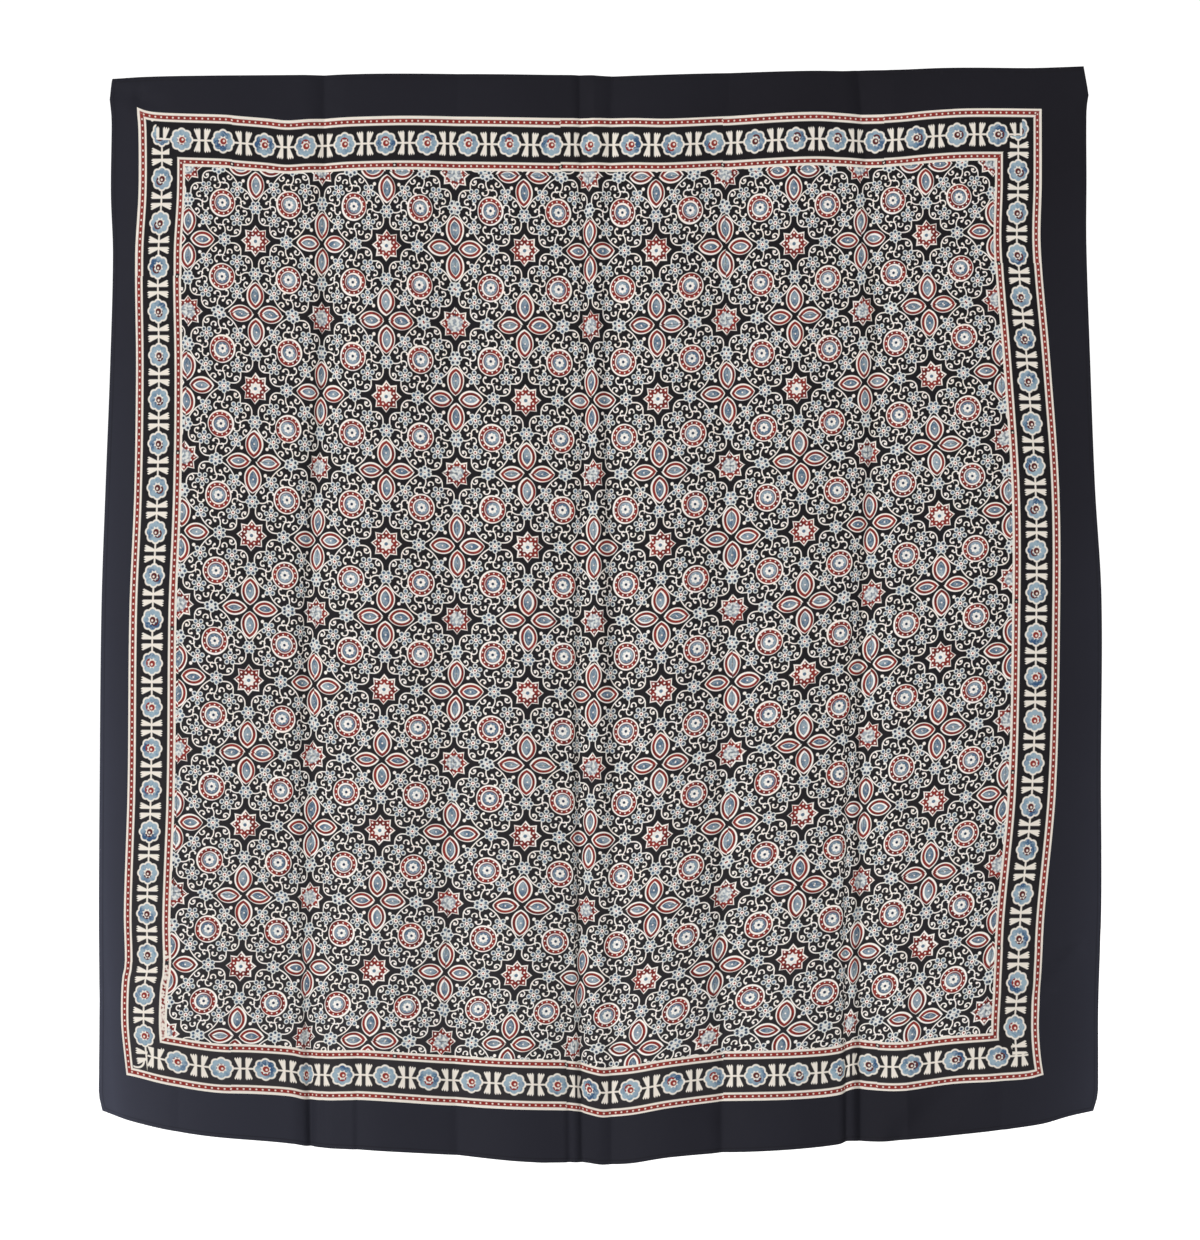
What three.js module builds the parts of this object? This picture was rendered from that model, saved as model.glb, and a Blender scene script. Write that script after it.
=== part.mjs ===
// Ajrakh cloth: one hemmed square of printed cloth, hung by its top edge and seen face on.
// Millimetres, +Z up, printed face towards -Y, origin at the middle of the top edge.

import * as THREE from 'three';
import { mergeVertices } from 'three/addons/utils/BufferGeometryUtils.js';

// Sheet
const thickness = 1.6;
const navy = 0x26262f;
const clothRoughness = 0.85;

// Grid of the solid
const rowsDown = 26;
const widestCell = 26;
const creaseSteps = [-16, -7, 0, 7, 16];
const closestColumns = 4;

// The two sides: how far each lies from the middle, by the share of the way down
const sides = [
  { down: 0.00, left: 496, right: 496 },
  { down: 0.20, left: 495, right: 497 },
  { down: 0.35, left: 500, right: 502 },
  { down: 0.50, left: 505, right: 511 },
  { down: 0.80, left: 509, right: 511 },
  { down: 0.95, left: 509, right: 508 },
  { down: 1.00, left: 506, right: 504 },
];

// The two ends: the top edge's height and the hem's drop, by the share of the way across
const ends = [
  { across: 0.00, top: 1, hem: 1053 },
  { across: 0.03, top: -2, hem: 1063 },
  { across: 0.10, top: 0, hem: 1078 },
  { across: 0.22, top: 1, hem: 1091 },
  { across: 0.36, top: 2, hem: 1099 },
  { across: 0.50, top: 0, hem: 1110 },
  { across: 0.56, top: 1, hem: 1103 },
  { across: 0.68, top: 4, hem: 1095 },
  { across: 0.76, top: 5, hem: 1084 },
  { across: 0.80, top: 6, hem: 1084 },
  { across: 0.90, top: 8, hem: 1074 },
  { across: 0.97, top: 9, hem: 1059 },
  { across: 1.00, top: 10, hem: 1052 },
];

// Creases, from left to right. line is how far right of the middle the crease runs at the
// top edge, half way down and at the hem, flanks its width to the left and to the right,
// and out how far it stands forward there, so a valley is negative.
const creases = {
  leftValley: { line: [-279, -292, -297], flanks: [28, 24], out: [-4, -9, -10] },
  leftSlack: { line: [-146, -146, -144], flanks: [30, 30], out: [-1, -3, -4] },
  middleValley: { line: [-9, -24, -12], flanks: [26, 12], out: [-4, -7, -12] },
  middleRidge: { line: [3, -3, 2], flanks: [12, 34], out: [1, 6, 6] },
  middleInlet: { line: [15, 12, 20], flanks: [12, 24], out: [-2, -6, -1] },
  rightSlack: { line: [133, 129, 121], flanks: [24, 24], out: [-1, -3, -6] },
  rightValley: { line: [276, 266, 254], flanks: [34, 16], out: [-4, -7, -13] },
  rightRidge: { line: [292, 285, 274], flanks: [16, 34], out: [1, 3, 6] },
};

// Rounded swells between the creases, and the way the two sides turn back
const swells = {
  leftSide: { line: [-512, -520, -524], flanks: [90, 90], out: [-2, -6, -10] },
  first: { line: [-400, -405, -405], flanks: [90, 90], out: [2, 4, 6] },
  second: { line: [-215, -222, -224], flanks: [65, 65], out: [2, 5, 7] },
  third: { line: [-75, -84, -80], flanks: [60, 60], out: [2, 4, 7] },
  fourth: { line: [72, 70, 68], flanks: [55, 55], out: [2, 5, 6] },
  fifth: { line: [200, 196, 186], flanks: [62, 62], out: [2, 4, 6] },
  sixth: { line: [384, 380, 376], flanks: [84, 84], out: [2, 4, 6] },
  rightSide: { line: [514, 526, 522], flanks: [80, 80], out: [-1, -5, -9] },
};

// Smooth value of a table's column at a place between its rows
function between(table, key, place, column) {
  const last = table.length - 1;
  const below = table.filter((row) => row[key] < place).length;
  const next = THREE.MathUtils.clamp(below, 1, last);
  const from = table[next - 1];
  const to = table[next];
  const slope = (low, high) => {
    const rise = table[high][column] - table[low][column];
    return rise / (table[high][key] - table[low][key]);
  };
  const span = to[key] - from[key];
  const share = (place - from[key]) / span;
  const leaving = slope(Math.max(next - 2, 0), next) * span;
  const arriving = slope(next - 1, Math.min(next + 1, last)) * span;
  const eased = share * share * (3 - 2 * share);
  const bend = share * (1 - share) * (leaving * (1 - share) - arriving * share);
  return from[column] * (1 - eased) + to[column] * eased + bend;
}

// Value at a share of the way down, from those at the top edge, half way and the hem
function along([top, middle, hem], down) {
  const up = 1 - down;
  return top * up * (up - down) + middle * 4 * down * up + hem * down * (down - up);
}

// Height of a crease's pointed section or a swell's rounded one, 1 on its line and 0 past it
const pointed = (share) => (share < 1 ? (1 - share) ** 2 : 0);
const rounded = (share) => (share < 1 ? (1 - share ** 2) ** 2 : 0);

function forwardOf(fold, section, x, down) {
  const offset = x - along(fold.line, down);
  const flank = offset < 0 ? fold.flanks[0] : fold.flanks[1];
  return section(Math.abs(offset) / flank) * along(fold.out, down);
}

function standsForward(x, down) {
  const creased = Object.values(creases).map((fold) => forwardOf(fold, pointed, x, down));
  const swelled = Object.values(swells).map((fold) => forwardOf(fold, rounded, x, down));
  return [...creased, ...swelled].reduce((sum, step) => sum + step, 0);
}

// The upright lines of the grid follow the creases, so these are named by their place at
// the hem: some close to each crease, and even cells between them.
const hemLeft = -sides.at(-1).left;
const hemRight = sides.at(-1).right;
const creaseLines = Object.values(creases).map((crease) => crease.line);

function columnsAtHem() {
  const onCreases = creaseLines.map((line) => line[2]);
  const near = onCreases.flatMap((mark) => creaseSteps.map((step) => mark + step));
  const marks = [hemLeft, hemRight, ...near].sort((a, b) => a - b);
  const kept = [];
  for (const mark of marks) {
    const previous = kept.at(-1);
    if (kept.length === 0 || mark - previous >= closestColumns) {
      kept.push(mark);
    } else if (onCreases.includes(mark)) {
      kept[kept.length - 1] = mark;
    }
  }
  const columns = [kept[0]];
  for (let i = 1; i < kept.length; i += 1) {
    const gap = kept[i] - kept[i - 1];
    const cells = Math.ceil(gap / widestCell);
    for (let cell = 1; cell <= cells; cell += 1) {
      columns.push(kept[i - 1] + (gap * cell) / cells);
    }
  }
  return columns;
}

// Where such a line runs at a share of the way down: between the creases or sides it lies in
function columnLine(atHem, down) {
  const left = { hem: hemLeft, here: -between(sides, 'down', down, 'left') };
  const right = { hem: hemRight, here: between(sides, 'down', down, 'right') };
  const inside = creaseLines.map((line) => ({ hem: line[2], here: along(line, down) }));
  const guides = [left, ...inside, right];
  const next = Math.max(guides.findIndex((guide) => guide.hem >= atHem), 1);
  const from = guides[next - 1];
  const to = guides[next];
  return THREE.MathUtils.mapLinear(atHem, from.hem, to.hem, from.here, to.here);
}

// One box a cell thick is bent into the hung sheet, so it stays closed
function hungSheet() {
  const columns = columnsAtHem();
  const cellsAcross = columns.length - 1;
  const flat = new THREE.BoxGeometry(1, 1, 1, cellsAcross, 1, rowsDown);
  flat.deleteAttribute('normal');
  flat.deleteAttribute('uv');
  const sheet = mergeVertices(flat);
  const points = sheet.getAttribute('position');
  for (let i = 0; i < points.count; i += 1) {
    const column = columns[Math.round((points.getX(i) + 0.5) * cellsAcross)];
    const down = 0.5 - points.getZ(i);
    const x = columnLine(column, down);
    const left = -between(sides, 'down', down, 'left');
    const right = between(sides, 'down', down, 'right');
    const across = (x - left) / (right - left);
    const top = between(ends, 'across', across, 'top');
    const hem = -between(ends, 'across', across, 'hem');
    const y = points.getY(i) * thickness - standsForward(x, down);
    points.setXYZ(i, x, y, THREE.MathUtils.lerp(top, hem, down));
  }
  sheet.computeVertexNormals();
  return sheet;
}

const cloth = new THREE.Mesh(
  hungSheet(),
  new THREE.MeshStandardMaterial({ color: navy, roughness: clothRoughness, metalness: 0 }),
);
cloth.name = 'cloth';

const hanging = new THREE.Group();
hanging.add(cloth);

export default hanging;
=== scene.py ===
import math

import bmesh
import bpy
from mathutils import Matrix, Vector, noise


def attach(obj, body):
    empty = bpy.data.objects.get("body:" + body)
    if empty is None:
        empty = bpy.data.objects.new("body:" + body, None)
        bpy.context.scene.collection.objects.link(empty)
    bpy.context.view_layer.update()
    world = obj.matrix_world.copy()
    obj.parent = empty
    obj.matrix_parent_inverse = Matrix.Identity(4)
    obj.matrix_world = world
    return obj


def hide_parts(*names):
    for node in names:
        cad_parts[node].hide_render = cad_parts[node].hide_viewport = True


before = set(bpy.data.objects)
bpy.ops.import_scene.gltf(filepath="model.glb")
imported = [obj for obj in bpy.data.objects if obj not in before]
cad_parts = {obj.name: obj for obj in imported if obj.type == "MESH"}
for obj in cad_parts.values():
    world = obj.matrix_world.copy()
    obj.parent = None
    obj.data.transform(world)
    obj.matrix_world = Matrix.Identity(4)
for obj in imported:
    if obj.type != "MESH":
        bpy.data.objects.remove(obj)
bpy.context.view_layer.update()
mm = 0.001  # every size below is in millimetres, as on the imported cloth

# The camera looks straight at the printed face
shot = {
    "away": 3200.0,
    "right": 1.5,
    "down": 555.0,
    "viewHeight": 1264.8,  # height of what it sees at the cloth
    "sensor": 24.0,
}

# Soft studio light: a white room, brighter behind the cloth than before it, and two big soft lamps
studio = {
    "behind": 1.1,
    "before": 0.30,
    "turn": (-0.25, 0.35),  # how far back the room turns from one to the other
    "floorDown": 1650.0,
    "floorRadius": 12000.0,
    "floorColour": (0.86, 0.86, 0.85),
    "floorGlows": (0.6, 2.4),  # metres behind the cloth where the floor starts to glow, and where it is white
    "lamps": (
        {"name": "key", "at": (-5400, -6400, -1500), "to": (0, 0, -600), "size": 2300, "watts": 640},
        {"name": "fill", "at": (2600, -6000, 900), "to": (0, 0, -500), "size": 2600, "watts": 50},
    ),
}

# The cloth's grid, sheet and hem
cloth = {
    "cellsAcross": 344,
    "cellsDown": 132,
    "hemCells": (0.0, 1.4, 2.8, 4.4),  # where the first lines of the grid run, from each edge
    "flat": (1070.0, 1100.0),
    "sheet": 0.7,
    "hemWide": 4.0,
    "hemThick": 1.7,
    "creaseSpread": 12.0,  # how near a crease the upright lines of the grid crowd
    "creasePull": 1.2,
    "slack": 0.9,  # small unevenness of the hanging cloth
    "slackLength": 95.0,
    "weave": 0.9,  # from thread to thread
}


def tableOf(columns, *rows):  # rows of values under the names of their columns
    return [dict(zip(columns, row)) for row in rows]


def foldsOf(*rows):  # creases or swells by name, each with its line, flanks and out
    return {name: dict(zip(("line", "flanks", "out"), values)) for name, *values in rows}


# The two sides: how far each lies from the middle, by share of the way down
sides = tableOf(
    ("down", "left", "right"),
    (0.000, 496, 495),
    (0.016, 499, 498),
    (0.028, 498, 500),
    (0.040, 497, 498),
    (0.110, 498, 498),
    (0.170, 496, 498),
    (0.280, 499, 502),
    (0.400, 504, 507),
    (0.510, 508, 514),
    (0.680, 510, 513.5),
    (0.800, 511, 514),
    (0.900, 510.5, 511),
    (0.965, 511, 511),
    (0.985, 511, 510.5),
    (1.000, 507.5, 506),
)

# The two ends: the top edge's height and the hem's drop, by share of the way across
ends = tableOf(
    ("across", "top", "hem"),
    (0.000, -3, 1057),
    (0.030, -1, 1067),
    (0.100, 0, 1079.5),
    (0.193, 1, 1089.5),
    (0.210, 1, 1093),
    (0.270, 2, 1095),
    (0.360, 2, 1101.5),
    (0.440, 1, 1107.5),
    (0.476, 1, 1108.5),
    (0.490, 1, 1109.5),
    (0.506, 0, 1111.5),
    (0.530, 0, 1109.5),
    (0.570, 1, 1102.5),
    (0.630, 3, 1098.5),
    (0.720, 5, 1092.5),
    (0.742, 5, 1090),
    (0.754, 5, 1087),
    (0.768, 6, 1088),
    (0.800, 6, 1086.5),
    (0.860, 8, 1079.5),
    (0.945, 8, 1069.5),
    (0.975, 9, 1062),
    (1.000, 10, 1057),
)

# The printed frame: how far its sides lie from the middle, by share of the way down, and how far down its
# top and bottom lines run, by share of the way across
frameSides = tableOf(
    ("down", "left", "right"),
    (0.000, 471, 452),
    (0.030, 471, 452),
    (0.050, 469.5, 452),
    (0.110, 469.5, 452),
    (0.170, 473, 451),
    (0.280, 472, 461),
    (0.400, 474, 470),
    (0.510, 479, 471),
    (0.680, 481, 467),
    (0.800, 485, 455),
    (0.850, 484, 452),
    (0.866, 487, 451),
    (0.905, 488, 449),
    (0.935, 485, 451),
    (0.967, 481, 456),
    (1.000, 480, 457),
)
frameTops = tableOf(
    ("across", "line"),
    (0.000, 29),
    (0.025, 31),
    (0.033, 34.5),
    (0.045, 37),
    (0.070, 38.5),
    (0.118, 40),
    (0.128, 41),
    (0.160, 43.5),
    (0.180, 45.5),
    (0.203, 44),
    (0.250, 42),
    (0.320, 41),
    (0.440, 43),
    (0.530, 43),
    (0.570, 44),
    (0.630, 41),
    (0.720, 37),
    (0.768, 39),
    (0.800, 39),
    (0.840, 35.5),
    (0.880, 33.5),
    (1.000, 34),
)
frameHems = tableOf(
    ("across", "line"),
    (0.000, 1017),
    (0.030, 1020),
    (0.068, 1028),
    (0.117, 1036),
    (0.156, 1038),
    (0.193, 1041),
    (0.210, 1045),
    (0.270, 1044),
    (0.360, 1051),
    (0.440, 1054),
    (0.476, 1056),
    (0.490, 1060),
    (0.506, 1063),
    (0.530, 1060),
    (0.570, 1052),
    (0.630, 1046),
    (0.720, 1042),
    (0.742, 1039),
    (0.754, 1034),
    (0.768, 1035),
    (0.800, 1035),
    (0.853, 1028),
    (0.903, 1024.5),
    (0.930, 1022.5),
    (0.949, 1018),
    (1.000, 1016),
)

# Creases, from left to right. line is how far right of the middle the crease runs at the top edge, at each
# quarter of the way down and at the hem, flanks its width to the left and right, out how far it stands
# forward there.
creases = foldsOf(
    ("leftValley", (-280, -279, -294, -292, -294), (22, 26), (-4, -7, -9, -7, -8)),
    ("leftSlack", (-144, -146, -148, -152, -144), (30, 30), (-1, -3, -3, -4, -4)),
    ("middleValley", (-20, -14, -20, -20, -17), (9, 34), (-3, -4, -5, -8, -6)),
    ("middleRidge", (-6, -4, 1, -3, 3), (12, 30), (1, 4, 5, 3, 0)),
    ("middleInlet", (14, 9, 15, 16, 14), (20, 32), (-3, -7, -8, -4, -1)),
    ("rightSlack", (133, 129, 129, 126, 126), (16, 30), (-1, -2, -3, -5, -5)),
    ("rightValley", (265, 284, 271, 268, 268), (18, 38), (-4, -6, -8, -9, -10)),
    ("rightRidge", (300, 308, 304, 304, 316), (36, 32), (1, 2, 3, 4, 4)),
)

# Finer creases beside the main ones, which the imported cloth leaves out
fineCreases = foldsOf(
    ("leftTwin", (-285, -284, -300, -302, -295), (6, 12), (0, -1, -2, -2, -3)),
    ("leftTwinRight", (-268, -270, -283, -283, -282), (6, 9), (0, -1, 0, -2, -1)),
    ("leftPleat", (-238, -240, -244, -248, -246), (6, 24), (0, 0, 0, 0, -2)),
    ("middleTwin", (-31, -26, -30, -33, -30), (6, 18), (0, -1, -1, -1, -3)),
    ("middleHollow", (12, 12, 14, 14, 13), (40, 30), (0, 0, 0, -3, -6)),
    ("quarterPleat", (-420, -422, -425, -427, -428), (20, 20), (0, 0, -1, -1, -1)),
    ("rightCut", (252, 271, 260, 253, 253), (8, 9), (0, 0, -1, -4, -6)),
    ("rightPleat", (402, 410, 415, 412, 410), (22, 22), (0, -1, -1, -1, -1)),
)

# Cloth that is hidden in a crease's narrow folds, spread over so far to each side of its line
tucks = {
    "leftTwin": {"hides": (1, 2, 2, 4, 7), "wide": 10},
    "middleValley": {"hides": (2, 3, 4, 7, 10), "wide": 11},
    "rightCut": {"hides": (1, 2, 3, 8, 11), "wide": 10},
}

# Rounded swells between the creases, and the way the two sides turn back
swells = foldsOf(
    ("leftSide", (-512, -517, -520, -523, -524), (90, 90), (-2, -5, -6, -8, -10)),
    ("first", (-400, -404, -405, -406, -405), (90, 90), (2, 3, 4, 5, 6)),
    ("second", (-215, -219, -222, -224, -224), (65, 65), (2, 4, 5, 6, 7)),
    ("third", (-75, -82, -84, -84, -80), (60, 60), (2, 3, 4, 6, 7)),
    ("fourth", (72, 72, 70, 70, 68), (55, 55), (2, 4, 5, 6, 6)),
    ("fifth", (200, 200, 196, 190, 186), (62, 62), (2, 3, 4, 5, 6)),
    ("sixth", (384, 382, 380, 378, 376), (84, 84), (2, 3, 4, 5, 6)),
    ("rightSide", (514, 523, 526, 525, 522), (80, 80), (-1, -3, -5, -7, -9)),
)

# Short slanting folds where the cloth is pulled: from and to are places across and down, and out is how far
# each end stands forward
pulls = tableOf(
    ("from", "to", "wide", "out"),
    ((-496, 15), (-470, 20), 6, (-3.6, -3.8)),
    ((-470, 20), (-438, 33), 7, (-3.8, -0.6)),
    ((-497, 6), (-440, 20), 10, (1.8, 0.5)),
    ((-508, 942), (-486, 968), 16, (-1.2, -0.4)),
    ((-500, 1010), (-440, 1046), 18, (0.9, 0.3)),
    ((512, 880), (462, 916), 14, (-1.2, -0.4)),
    ((478, 18), (500, 30), 9, (-1.2, -0.4)),
    ((489, 890), (388, 1004), 12, (-3.0, -2.4)),
    ((374, 1020), (312, 1082), 24, (-3.5, -6.5)),
    ((114, 1052), (150, 1084), 12, (-1.2, -1.2)),
)

# Where the stamped blocks of the field meet. A column's seam is how far right of the middle it runs at the
# top edge, at each quarter of the way down and at the hem; a row's seams are how far down they run at places
# across.
blockColumns = [
    (-418, -419, -427, -432, -449),
    (-281, -283, -289, -295, -305),
    (-147, -146, -144, -153, -165),
    (-11, -8, -4, -12, -35),
    (128, 131, 137, 129, 96),
    (266, 270, 279, 268, 246),
    (398, 408, 422, 408, 381),
]
blockRows = tableOf(
    ("x", "seams"),
    (-420, (93, 239, 388, 539, 687, 833, 977)),
    (-210, (98, 250, 403, 552, 698, 842, 984)),
    (-60, (102, 255, 406, 555, 703, 847, 987)),
    (10, (103, 255, 406, 556, 706, 852, 993)),
    (60, (103, 255, 404, 553, 702, 847, 990)),
    (150, (98, 247, 396, 543, 688, 832, 974)),
    (200, (96, 245, 392, 538, 682, 826, 972)),
    (280, (93, 238, 383, 528, 673, 820, 964)),
    (340, (91, 234, 377, 521, 667, 812, 958)),
    (400, (88, 229, 371, 515, 659, 805, 952)),
)

# Every fourth flower of the border, across from the middle or down from the top
flowerSpots = {
    "top": (-425, -259, -91, 76, 243, 407),
    "hem": (-429, -261, -86, 76, 246, 407),
    "left": (105, 285, 465, 644, 813, 979),
    "right": (97, 268, 441, 613, 789, 970),
}

# The printed frame, flat
border = {
    "frame": (1063.0, 1000.0),
    "hemDeeper": 1.075,  # the strip is so much narrower at the hem than at the top
    "deep": 54.0,
    "flowersIn": 45.0,  # how deep the strip's flowers and leaves reach
    "rowSeam": 1.22,  # where two stamps meet, counted in flowers
    "sideSeam": 2.2,
    "rowEnds": (-0.72, 20.7),  # where the flowers and leaves start and stop, counted in flowers
    "sideEnds": (-1.45, 20.85),
    "halfway": 9,  # the flower that parts top from bottom, and left from right
    "worn": (17.9, 20.1),
    "hook": {"middle": (12.4, 22.0), "radius": 11.0, "from": 9.5},
}

# Where the top and bottom strips are printed over the sides', at each corner
overprint = {
    "outer": 28.2,  # how deep the outer half of a strip reaches
    "leftFrom": -0.7,
    "leftDeep": 37.5,
    "leftAll": -0.3,
    "rightTo": 20.33,
    "topOuter": (-0.62, 20.6),
    "topInner": (-0.3, 20.3),
}


def between(table, key, place, column):  # smooth value of a table's column between its rows
    last = len(table) - 1
    upper = min(max(sum(row[key] < place for row in table), 1), last)
    start, end = table[upper - 1], table[upper]

    def slope(low, high):
        return (table[high][column] - table[low][column]) / (table[high][key] - table[low][key])

    span = end[key] - start[key]
    share = (place - start[key]) / span
    leaving = slope(max(upper - 2, 0), upper) * span
    arriving = slope(upper - 1, min(upper + 1, last)) * span
    eased = share * share * (3 - 2 * share)
    bend = share * (1 - share) * (leaving * (1 - share) - arriving * share)
    return start[column] * (1 - eased) + end[column] * eased + bend


def along(values, down):  # smooth value at a share of the way down, from evenly spaced ones
    steps = len(values) - 1
    table = [{"down": k / steps, "value": value} for k, value in enumerate(values)]
    return between(table, "down", down, "value")


def stepped(marks, place, firstPhase, step):  # evenly counted phase between uneven marks
    k = 0
    while k < len(marks) - 2 and marks[k + 1] < place:
        k += 1
    share = (place - marks[k]) / (marks[k + 1] - marks[k])
    return firstPhase + step * (k + share)


def foldsAt(down):  # every crease and swell at one share of the way down
    found = []
    for table, power in ((creases, 1), (fineCreases, 1), (swells, 2)):
        for fold in table.values():
            found.append((along(fold["line"], down), fold["flanks"], along(fold["out"], down), power))
    return found


def standsForward(folds, x):
    total = 0.0
    for line, flanks, out, power in folds:
        offset = x - line
        share = abs(offset) / flanks[offset >= 0]
        if share < 1:
            total += out * (1 - share**power) ** 2
    return total


def pulled(x, depth):  # the short slanting folds
    total = 0.0
    for pull in pulls:
        start, end = Vector(pull["from"]), Vector(pull["to"])
        run = end - start
        place = Vector((x, depth)) - start
        share = min(max(place.dot(run) / run.length_squared, 0.0), 1.0)
        off = (place - run * share).length / pull["wide"]
        if off < 1:
            out = pull["out"][0] * (1 - share) + pull["out"][1] * share
            total += out * (1 - off * off) ** 2
    return total


def uneven(x, depth):
    place = Vector((x, depth * 0.45, 0.0)) / cloth["slackLength"]
    fine = Vector((x * 2.1, depth * 0.6, 40.0)) / cloth["slackLength"]
    return cloth["slack"] * (noise.noise(place) + 0.35 * noise.noise(fine))


def gridLines(cells, start, end, marks):  # lines of the grid, close together at the hems and near the marks
    hem = cloth["hemCells"]
    low, high = start + hem[-1], end - hem[-1]
    inner = cells - 2 * (len(hem) - 1)
    samples = 4000
    total = [0.0]
    for k in range(samples):
        place = low + (high - low) * (k + 0.5) / samples
        near = sum(math.exp(-(((place - mark) / cloth["creaseSpread"]) ** 2)) for mark in marks)
        total.append(total[-1] + 1 + cloth["creasePull"] * min(near, 1.4))
    lines, k = [], 0
    for cell in range(inner + 1):
        wanted = total[-1] * cell / inner
        while k < samples - 1 and total[k + 1] < wanted:
            k += 1
        share = (wanted - total[k]) / (total[k + 1] - total[k])
        lines.append(low + (high - low) * (k + share) / samples)
    return [*[start + step for step in hem[:-1]], *lines, *[end - step for step in reversed(hem[:-1])]]


def columnLine(atHem, guides):  # where such a line runs on a row: between the creases that it lies between
    k = 0
    while k < len(guides) - 2 and guides[k + 1][0] < atHem:
        k += 1
    (hemFrom, hereFrom), (hemTo, hereTo) = guides[k], guides[k + 1]
    return hereFrom + (hereTo - hereFrom) * (atHem - hemFrom) / (hemTo - hemFrom)


def tucksAt(down):
    lines = {**creases, **fineCreases}
    return [
        (along(lines[name]["line"], down), tuck["wide"], along(tuck["hides"], down))
        for name, tuck in tucks.items()
    ]


def hidden(tucked, x):  # length of cloth hidden in the creases to the left of a place
    total = 0.0
    for line, wide, hides in tucked:
        share = min(max((x - line) / wide, -1.0), 1.0)
        total += hides * (0.5 + share * (0.75 - 0.25 * share * share))
    return total


def clothRow(down, lines):  # the places of one row of the grid, and what the print needs there
    left = -between(sides, "down", down, "left")
    right = between(sides, "down", down, "right")
    frameLeft = -between(frameSides, "down", down, "left")
    frameRight = between(frameSides, "down", down, "right")
    guides = [(-sides[-1]["left"], left)]
    guides += [(fold["line"][-1], along(fold["line"], down)) for fold in creases.values()]
    guides.append((sides[-1]["right"], right))
    folds, tucked = foldsAt(down), tucksAt(down)
    row, run = [], 0.0
    for line in lines:
        x = columnLine(line, guides)
        across = (x - left) / (right - left)
        top = between(ends, "across", across, "top")
        hem = between(ends, "across", across, "hem")
        depth = -top + (hem + top) * down
        y = -standsForward(folds, x) - pulled(x, depth) - uneven(x, depth)
        if row:
            run += math.hypot(x - row[-1]["x"], y - row[-1]["y"])
            run += hidden(tucked, x) - hidden(tucked, row[-1]["x"])
        row.append({"x": x, "y": y, "depth": depth, "top": top, "hem": hem, "across": across, "run": run})

    def runAt(x):  # how far along the cloth itself a place is
        k = 0
        while k < len(row) - 2 and row[k + 1]["x"] < x:
            k += 1
        share = (x - row[k]["x"]) / (row[k + 1]["x"] - row[k]["x"])
        return row[k]["run"] + share * (row[k + 1]["run"] - row[k]["run"])

    seams = [runAt(along(column, down)) for column in blockColumns]
    frameFrom, frameTo = runAt(frameLeft), runAt(frameRight)
    flowers = {name: [runAt(x) for x in flowerSpots[name]] for name in ("top", "hem")}
    wide, high = border["frame"]
    for spot in row:
        rowSeams = [
            between([{"x": r["x"], "seam": r["seams"][k]} for r in blockRows], "x", spot["x"], "seam")
            for k in range(len(blockRows[0]["seams"]))
        ]
        frameTop = between(frameTops, "across", spot["across"], "line")
        frameHem = between(frameHems, "across", spot["across"], "line")
        share = (spot["run"] - frameFrom) / (frameTo - frameFrom)
        shareDown = (spot["depth"] - frameTop) / (frameHem - frameTop)
        end = "top" if shareDown < 0.5 else "hem"
        side = "left" if share < 0.5 else "right"
        spot["fieldAt"] = (
            stepped(seams, spot["run"], -1, 2),
            stepped(rowSeams, spot["depth"], -1, 2),
            0,
        )
        spot["frameAt"] = (share * wide, shareDown * high, 0)
        spot["stripAt"] = (
            stepped(flowers[end], spot["run"], 0, 4),
            stepped(flowerSpots[side], spot["depth"], 0, 4),
            0,
        )
        spot["clothAt"] = (
            min(spot["run"], run - spot["run"]),
            min(spot["depth"] + spot["top"], spot["hem"] - spot["depth"]),
            0,
        )
        spot["flatAt"] = (spot["run"], spot["depth"], 0)
    return row


layers = ("fieldAt", "frameAt", "stripAt", "clothAt", "flatAt")


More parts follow.
